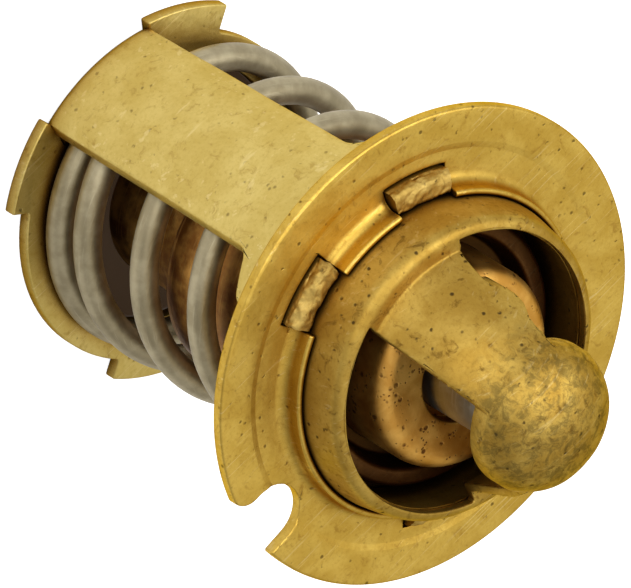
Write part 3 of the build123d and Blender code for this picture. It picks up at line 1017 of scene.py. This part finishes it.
# %% Geometry Nodes helper
class Tree(Nodes):
    """A Geometry Nodes tree with named number inputs."""

    def __init__(self, name, numbers):
        super().__init__(bpy.data.node_groups.new(name, "GeometryNodeTree"))
        face = self.tree.interface
        face.new_socket("Geometry", in_out="INPUT", socket_type="NodeSocketGeometry")
        for label, value in numbers.items():
            made = face.new_socket(label, in_out="INPUT", socket_type="NodeSocketFloat")
            made.default_value = value
        face.new_socket("Geometry", in_out="OUTPUT", socket_type="NodeSocketGeometry")
        self.given = self.node("NodeGroupInput").outputs

    def build(self, item, geometry, material):
        """Run the tree on an object and keep the plain mesh."""
        real = self.node("GeometryNodeRealizeInstances", Geometry=geometry)
        paint = self.node("GeometryNodeSetMaterial", Geometry=real.outputs[0], Material=material)
        self.node("NodeGroupOutput", Geometry=paint.outputs[0])
        item.modifiers.new("build", "NODES").node_group = self.tree
        apply_modifiers(item)


print("geometry helper ready")

# %% [markdown]
# ## Main spring
# A coil follows a rule: each turn climbs by one pitch, but the first and last turns lie nearly
# flat and the climb grows evenly in between. A screw modifier climbs evenly and has no such
# ends, so the tree puts the points of a line where the rule says, and gives it the wire's round
# section. The coil sits a little off the axis, as a loose spring does.

# %% Main spring
WIRE = 1.08
COIL_RADIUS = 11.39
COIL_POINTS = 500
WIRE_SIDES = 28
VALVE_REAR = -2.9
tree = Tree("coil_spring", {
    "Coil Radius": COIL_RADIUS,
    "Wire Radius": WIRE,
    "Height": VALVE_REAR - RING_FRONT - 2 * WIRE,
    "Pitch": 6.82,
    "Dead Turn": 0.34,
    "Ramp Turn": 0.69,
    "Start Angle": math.radians(-91.0),
    "Start Height": RING_FRONT + WIRE,
    "Shift X": -0.37,
    "Shift Y": -0.24,
})
given = tree.given
calc = tree.math
line = tree.node("GeometryNodeCurvePrimitiveLine")
points = tree.node("GeometryNodeResampleCurve", Curve=line.outputs[0], Count=COIL_POINTS)
index = tree.node("GeometryNodeInputIndex").outputs[0]

# How many turns there are: the even climb's, and at each end a dead turn and a ramp.
end_rise = calc("MULTIPLY", calc("MULTIPLY", given["Pitch"], given["Ramp Turn"]), 0.5)
straight = calc("SUBTRACT", given["Height"], calc("MULTIPLY", end_rise, 2.0))
turns = calc("DIVIDE", straight, given["Pitch"])
flat_turns = calc("MULTIPLY", calc("ADD", given["Dead Turn"], given["Ramp Turn"]), 2.0)
turns = calc("ADD", turns, flat_turns)

# How far a point has climbed, counted from the nearer end.
done = calc("MULTIPLY", calc("DIVIDE", index, COIL_POINTS - 1.0), turns)
left = calc("SUBTRACT", turns, done)
near_end = calc("MINIMUM", done, left)
past_dead = calc("MAXIMUM", calc("SUBTRACT", near_end, given["Dead Turn"]), 0.0)
ramp = calc("MINIMUM", past_dead, given["Ramp Turn"])
run = calc("SUBTRACT", past_dead, ramp)
ramp_rise = calc("DIVIDE", calc("MULTIPLY", ramp, ramp), calc("MULTIPLY", given["Ramp Turn"], 2.0))
rise = calc("MULTIPLY", calc("ADD", ramp_rise, run), given["Pitch"])

# The upper half counts down from the top.
upper = calc("GREATER_THAN", done, left)
from_top = calc("SUBTRACT", given["Height"], rise)
lower_part = calc("MULTIPLY", rise, calc("SUBTRACT", 1.0, upper))
upper_part = calc("MULTIPLY", from_top, upper)
height = calc("ADD", calc("ADD", lower_part, upper_part), given["Start Height"])

angle = calc("ADD", calc("MULTIPLY", done, 2 * math.pi), given["Start Angle"])
across = calc("MULTIPLY_ADD", calc("COSINE", angle), given["Coil Radius"], given["Shift X"])
along = calc("MULTIPLY_ADD", calc("SINE", angle), given["Coil Radius"], given["Shift Y"])
spot = tree.node("ShaderNodeCombineXYZ", X=across, Y=along, Z=height).outputs[0]
metres = tree.vector("SCALE", spot, Scale=MM)
placed = tree.node("GeometryNodeSetPosition", Geometry=points.outputs[0], Position=metres)
wire_radius = calc("MULTIPLY", given["Wire Radius"], MM)
section = tree.node("GeometryNodeCurvePrimitiveCircle", Resolution=WIRE_SIDES, Radius=wire_radius)
wire = tree.node(
    "GeometryNodeCurveToMesh", Curve=placed.outputs[0], Profile_Curve=section.outputs[0], Fill_Caps=True,
)
spring = make_object("coil", [(0, 0, 0)], [])
tree.build(spring, wire.outputs[0], spring_steel)
smooth(spring)
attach(spring, "frame")
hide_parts("main_spring")
print("spring faces", len(spring.data.polygons))

# %% [markdown]
# ## Tabs
# Each leg sends two tabs through the flange plate, and a hammer has folded them down inwards.
# One tab is modelled, the tree sets four round the axis, and a noise by place batters each in
# its own way, so that no two are alike. Hammered metal is duller, so they have their own finish.

# %% Tab
TAB_REACH = 12.6
TAB_ROOT = FLANGE_REAR + 0.1
TAB_TOP = LAND + CAGE_SHEET
TAB_DIP = 0.05
tab_section = divided(
    rounded([
        (LEG_BORE, TAB_ROOT, 0),
        (LEG_RADIUS, TAB_ROOT, 0),
        (LEG_RADIUS, TAB_TOP, 0.9),
        (TAB_REACH, TAB_TOP - TAB_DIP, 0.35),
        (TAB_REACH, LAND, 0.15),
        (LEG_BORE, LAND, 0.1),
    ]),
    longest=0.13,
)
tab = spin("tabs", tab_section, cage_brass, segments=44, first=-TAB_SWEEP / 2, sweep=TAB_SWEEP)
print("one tab, faces", len(tab.data.polygons))

# %% Four battered tabs
DENT_SIZE = 1.1
GRAIN_SIZE = 0.3
BATTERED_ABOVE = LAND + 0.2
HALF_GREY = (0.5, 0.5, 0.5)
tree = Tree("hammered_tabs", {"Tab Angle": math.radians(TAB_CENTRE), "Batter": 0.26, "Grain": 0.07})
given = tree.given
calc = tree.math
spots = tree.node("GeometryNodePoints", Count=4)
index = tree.node("GeometryNodeInputIndex").outputs[0]
leg_number = calc("FLOOR", calc("MULTIPLY", index, 0.5))
side_number = calc("SUBTRACT", calc("MULTIPLY", calc("MODULO", index, 2.0), 2.0), 1.0)
leg_turn = calc("MULTIPLY", calc("SUBTRACT", leg_number, 0.5), math.pi)
tab_turn = calc("ADD", leg_turn, calc("MULTIPLY", side_number, given["Tab Angle"]))
turned_to = tree.node("ShaderNodeCombineXYZ", Z=tab_turn).outputs[0]
copies = tree.node(
    "GeometryNodeInstanceOnPoints",
    Points=spots.outputs[0], Instance=given["Geometry"], Rotation=turned_to,
)
real = tree.node("GeometryNodeRealizeInstances", Geometry=copies.outputs[0])

spot = tree.node("GeometryNodeInputPosition").outputs[0]
coarse = tree.node("ShaderNodeTexNoise", Vector=spot, Scale=1 / (DENT_SIZE * MM), Detail=2.0)
fine = tree.node("ShaderNodeTexNoise", Vector=spot, Scale=1 / (GRAIN_SIZE * MM), Detail=2.0)
dent_way = tree.vector("SUBTRACT", coarse.outputs["Color"], HALF_GREY)
dent = tree.vector("SCALE", dent_way, Scale=calc("MULTIPLY", given["Batter"], 2 * MM))
way_out = tree.node("GeometryNodeInputNormal").outputs[0]
grain_push = calc("MULTIPLY", calc("SUBTRACT", fine.outputs["Fac"], 0.5), given["Grain"])
grain = tree.vector("SCALE", way_out, Scale=calc("MULTIPLY", grain_push, 2 * MM))
spot_height = tree.node("ShaderNodeSeparateXYZ", Vector=spot).outputs["Z"]
moved = tree.node(
    "GeometryNodeSetPosition", Geometry=real.outputs[0], Offset=tree.vector("ADD", dent, grain),
    Selection=calc("GREATER_THAN", spot_height, BATTERED_ABOVE * MM),
)
tree.build(tab, moved.outputs[0], tab_brass)
smooth(tab, angle=60.0)
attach(tab, "frame")
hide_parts("spring_cage")
print("tab faces", len(tab.data.polygons))

# %% [markdown]
# ## Turned pieces of the valve
# Valve disc, guide body, piston and capsule are round all through, so each is one outline spun
# about the axis. A corner is a radius, a height and how much it is rounded.

# %% Turned pieces
TURNED = {
    "valve_plate": ("valve_disc", "valve", "valve_brass", valve_brass, [
        (8.05, -2.9, 0), (12.5, -2.9, 0.12), (12.5, -1.9, 0.3), (10.76, -1.9, 0.15),
        (10.76, 1.0, 0.42), (9.3, 1.0, 0.42), (8.9, -1.0, 0.3), (8.05, -1.0, 0),
    ]),
    "guide": ("guide_body", "valve", "guide_brass", guide_brass, [
        (3.55, -6.3, 0), (8.5, -6.3, 0), (8.5, -4.0, 0), (8.0, -4.0, 0), (8.0, 4.85, 1.3),
        (4.0, 4.85, 0.25), (4.0, 3.65, 0.05), (3.55, 3.65, 0),
    ]),
    "push_pin": ("piston", "frame", "piston_steel", piston_steel, [
        (0.0, -3.6, 0), (3.5, -3.6, 0.3), (3.5, 15.85, 1.2), (0.0, 15.85, 0),
    ]),
    "capsule": ("capsule_cup", "valve", "capsule_copper", capsule_copper, [
        (0.0, -30.4, 0), (6.3, -30.4, 1.2), (6.3, -19.1, 0.4), (9.55, -19.1, 0.8),
        (9.55, -2.95, 0.4), (8.05, -2.95, 0.1), (8.05, -3.95, 0), (8.55, -3.95, 0), (8.55, -7.4, 0),
        (7.45, -7.4, 0), (7.45, -18.0, 0), (5.25, -18.0, 0), (5.25, -29.35, 0), (0.0, -29.35, 0),
    ]),
}
for piece_name, (node_name, body, slot_name, finish, corners) in TURNED.items():
    piece = spin(piece_name, divided(rounded(corners, steps=7), longest=0.8), finish, segments=192)
    smooth(piece)
    unsettle(piece, size=4.0, depth=0.03, seed=len(piece_name))
    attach(piece, body)
    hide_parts(node_name)
    print(piece_name, "faces", len(piece.data.polygons))
